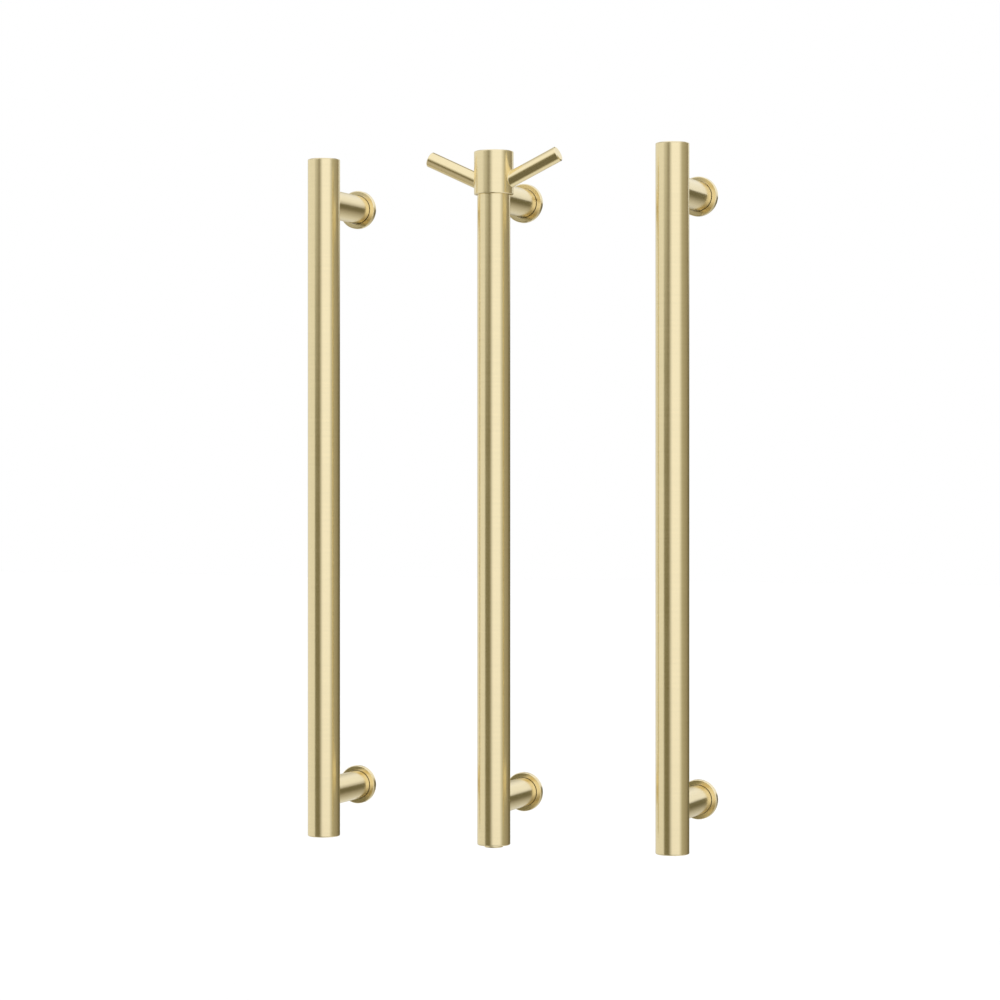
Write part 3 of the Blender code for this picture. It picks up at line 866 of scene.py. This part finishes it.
def push_button():
    """A disc with a rounded edge, a lip behind the cap and a stem up into the switch."""
    node = "button_cap"
    lowest, highest, middle = box_of(node)
    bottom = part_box("middle_bottom_cap")[0].z - lowest.z
    lip_radius = (highest.x - lowest.x) / 2
    lip = bottom + CAP_FLOOR + GAP
    lip_top = lip + BUTTON_LIP_THICKNESS
    corners = [
        (0.0, 0.0, 0.0),
        (BUTTON_RADIUS, 0.0, BUTTON_EDGE),
        (BUTTON_RADIUS, lip, 0.0),
        (lip_radius, lip, SEAM_ROUNDING),
        (lip_radius, lip_top, SEAM_ROUNDING),
        (BUTTON_STEM_RADIUS, lip_top, 0.0),
        (BUTTON_STEM_RADIUS, highest.z - lowest.z, SPIGOT_ROUNDING),
        (0.0, highest.z - lowest.z, 0.0),
    ]
    show(node, finished_mesh(node, turned(corners, POST_SIDES)), (middle.x, middle.y, lowest.z))


def switch_body():
    """The switch housing, with the bore for the button's stem in its underside."""
    node = "switch_body"
    lowest, highest, middle = box_of(node)
    radius = (highest.x - lowest.x) / 2
    height = highest.z - lowest.z
    corners = [
        (0.0, height, 0.0),
        (radius, height, SPIGOT_ROUNDING),
        (radius, 0.0, SPIGOT_ROUNDING),
        (SWITCH_BORE_RADIUS, 0.0, SPIGOT_ROUNDING),
        (SWITCH_BORE_RADIUS, SWITCH_BORE_DEPTH, 0.0),
        (0.0, SWITCH_BORE_DEPTH, 0.0),
    ]
    show(node, finished_mesh(node, turned(corners, PLATE_SIDES)), (middle.x, middle.y, lowest.z))


def button_spring():
    """A round-wire spring on the button's axis, which the button's press would shorten. It is built at the
    CAD spring's one height, with a mesh of its own.
    """
    node = "button_spring"
    lowest, highest, _ = box_of(node)
    button = box_of("button_cap")[2]
    low = lowest.z + SPRING_WIRE_RADIUS
    high = highest.z - SPRING_WIRE_RADIUS
    count = round(SPRING_TURNS * SPRING_POINTS_PER_TURN)
    coil = []
    for index in range(count + 1):
        angle = 2 * math.pi * index / SPRING_POINTS_PER_TURN
        height = low + (high - low) * index / count
        coil.append(Vector((SPRING_RADIUS * math.cos(angle), SPRING_RADIUS * math.sin(angle), height)))
    mesh = finished_mesh(node, swept(coil, SPRING_WIRE_RADIUS, WIRE_SIDES))
    spring = show(node, mesh, (button.x, button.y, 0.0))
    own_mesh(spring)


# -------------------------------------------------------------------- studio

# Levels of the cards, from the brightest to the darkest. The darker ones are a warmer grey.
BRIGHT = (1.0, 1.0, 1.0)
WHITE = (1.0, 1.0, 0.98)
LIGHT = (0.81, 0.80, 0.74)
SOFT = (0.645, 0.62, 0.53)
HALF = (0.555, 0.515, 0.435)
MIDDLE = (0.443, 0.416, 0.309)
DIM = (0.265, 0.23, 0.155)
DARK = (0.19, 0.17, 0.095)
DARKEST = (0.15, 0.135, 0.078)
SEAM_AZIMUTH = -158.0

# The studio as rings of (azimuth, level) round the object, in degrees. Azimuth 0 is out into the room, and it
# grows towards +X. Every ring starts and ends at the seam behind the rack.

# Below: light, and darker in front
LOW_RING = [
    (-158, LIGHT), (-77, MIDDLE), (-35, DARKEST), (20, DARKEST), (60, MIDDLE), (120, LIGHT), (202, LIGHT),
]

# Just below level: middle greys, darker in front
LOWER_RING = [
    (-158, SOFT), (-44, HALF), (-34, DIM), (-20, DARKEST), (0, DARKEST), (20, HALF), (64, SOFT), (87, MIDDLE),
    (150, DIM), (180, SOFT), (202, LIGHT),
]

# Level: a softbox on the left, a dark gap in front, a brighter softbox on the right, and dark behind
LEVEL_RING = [
    (-158, HALF), (-120, LIGHT), (-44, LIGHT), (-39, DARK), (-6, DARK), (15, BRIGHT), (64, BRIGHT),
    (87, MIDDLE), (145, DIM), (147, DARKEST), (202, DARKEST),
]

# Just above: the softboxes go on, with white behind on the right
RAISED_RING = [
    (-158, SOFT), (-120, LIGHT), (-44, LIGHT), (-24, SOFT), (-6, DARK), (15, BRIGHT), (64, BRIGHT),
    (87, MIDDLE), (154, DIM), (159, WHITE), (180, LIGHT), (202, MIDDLE),
]

# Higher up: white, then dimmer behind, and white again overhead
UPPER_RING = [(-158, LIGHT), (-60, WHITE), (64, WHITE), (140, LIGHT), (182, WHITE), (202, SOFT)]
HIGH_RING = [(-158, DIM), (-60, WHITE), (100, WHITE), (175, DIM), (202, DIM)]
CEILING = [(-158, WHITE), (202, WHITE)]

# Each ring and its elevation in degrees. The level ring stays the same between its two elevations.
STUDIO = [
    (-60.0, LOW_RING),
    (-20.0, LOWER_RING),
    (-5.0, LEVEL_RING),
    (3.0, LEVEL_RING),
    (6.5, RAISED_RING),
    (24.0, UPPER_RING),
    (44.0, HIGH_RING),
    (70.0, CEILING),
]


def grey(level):
    return (level, level, level, 1.0)


def card_colour(tree, share, stops):
    """The colour of one ring of cards at a share of the way round."""
    ramp_node = add_node(tree, "ShaderNodeValToRGB", {"Fac": share})
    ramp = ramp_node.color_ramp
    while len(ramp.elements) < len(stops):
        ramp.elements.new(1.0)
    for element, (azimuth, colour) in zip(ramp.elements, stops):
        element.position = (azimuth - SEAM_AZIMUTH) / 360.0
        element.color = (*colour, 1.0)
    return ramp_node.outputs["Color"]


def studio_world():
    """White all round for the eye and for soft light. Gloss reflects the rings of cards instead."""
    world = bpy.data.worlds.new("studio")
    bpy.context.scene.world = world
    world.use_nodes = True
    world.cycles.sampling_method = "NONE"
    tree = world.node_tree
    tree.nodes.clear()
    direction = add_node(tree, "ShaderNodeTexCoord").outputs["Generated"]
    parts = add_node(tree, "ShaderNodeSeparateXYZ", {0: direction}).outputs
    outwards = calculate(tree, "MULTIPLY", parts["Y"], -1.0)
    azimuth = calculate(tree, "ARCTAN2", parts["X"], outwards)
    from_seam = calculate(tree, "SUBTRACT", azimuth, math.radians(SEAM_AZIMUTH))
    share = calculate(tree, "WRAP", calculate(tree, "DIVIDE", from_seam, 2 * math.pi), 1.0, 0.0)
    elevation = calculate(tree, "DEGREES", calculate(tree, "ARCSINE", parts["Z"]))
    colour = card_colour(tree, share, STUDIO[0][1])
    for (low, _), (high, stops) in zip(STUDIO, STUDIO[1:]):
        factor = rescale(tree, elevation, low, high, 0.0, 1.0, smooth=True)
        colour = mix_colours(tree, factor, colour, card_colour(tree, share, stops))
    path = add_node(tree, "ShaderNodeLightPath").outputs
    plain = mix_colours(tree, path["Is Camera Ray"], grey(FILL_LIGHT), grey(BACKDROP))
    seen = mix_colours(tree, path["Is Glossy Ray"], plain, colour)
    background = add_node(tree, "ShaderNodeBackground", {"Color": seen, "Strength": 1.0})
    add_node(tree, "ShaderNodeOutputWorld", {"Surface": background.outputs["Background"]})


def floor():
    """A wide pale floor below the rack. Gloss reflects the studio's cards instead of it."""
    half = FLOOR_SIZE / 2
    height = CAD_BOX[0].z - FLOOR_DROP
    mesh = bpy.data.meshes.new("floor")
    outline = [(-half, -half, height), (half, -half, height), (half, half, height), (-half, half, height)]
    mesh.from_pydata(outline, [], [(0, 1, 2, 3)])
    mesh.materials.append(moulded("pale_floor", FLOOR_COLOUR, FLOOR_ROUGHNESS))
    plane = bpy.data.objects.new("floor", mesh)
    plane.visible_glossy = False
    bpy.context.scene.collection.objects.link(plane)


def camera():
    """The camera stands to the right of the rack's front and looks at it level."""
    middle = (CAD_BOX[0] + CAD_BOX[1]) / 2
    aim = Vector((CAMERA_AIM_X, bar_middle_y(), middle.z + CAMERA_AIM_RAISE))
    back = Vector((math.sin(CAMERA_AZIMUTH), -math.cos(CAMERA_AZIMUTH), 0.0))
    data = bpy.data.cameras.new("camera")
    data.sensor_width = CAMERA_SENSOR
    data.lens = CAMERA_LENS
    data.shift_y = CAMERA_SHIFT_Y
    eye = bpy.data.objects.new("camera", data)
    eye.location = aim + back * CAMERA_DISTANCE
    eye.rotation_euler = (math.pi / 2, 0.0, CAMERA_AZIMUTH)
    bpy.context.scene.collection.objects.link(eye)
    bpy.context.scene.camera = eye


def build():
    bpy.context.scene.view_settings.view_transform = "Standard"
    camera()
    studio_world()
    floor()
    screw = wall_screw_mesh()
    for side in ("left", "middle", "right"):
        bar_tube(side)
        end_cap(f"{side}_top_cap", side)
        end_cap(f"{side}_bottom_cap", side, BUTTON_RADIUS + GAP if side == "middle" else 0.0)
        heating_element(side)
        lead(f"{side}_lead", rises=False)
        for level in ("upper", "lower"):
            post(side, level)
            flange(side, level)
            wall_plate(side, level)
            grub_screw(f"{side}_{level}_grub_screw", points_down=True)
            for number in (1, 2):
                wall_screw(f"{side}_{level}_wall_screw_{number}", screw)
    collar()
    arm("hook_arm_left", -1.0)
    arm("hook_arm_right", 1.0)
    grub_screw("hook_grub_screw", points_down=False)
    push_button()
    switch_body()
    button_spring()
    lead("switch_lead", rises=True)


build()
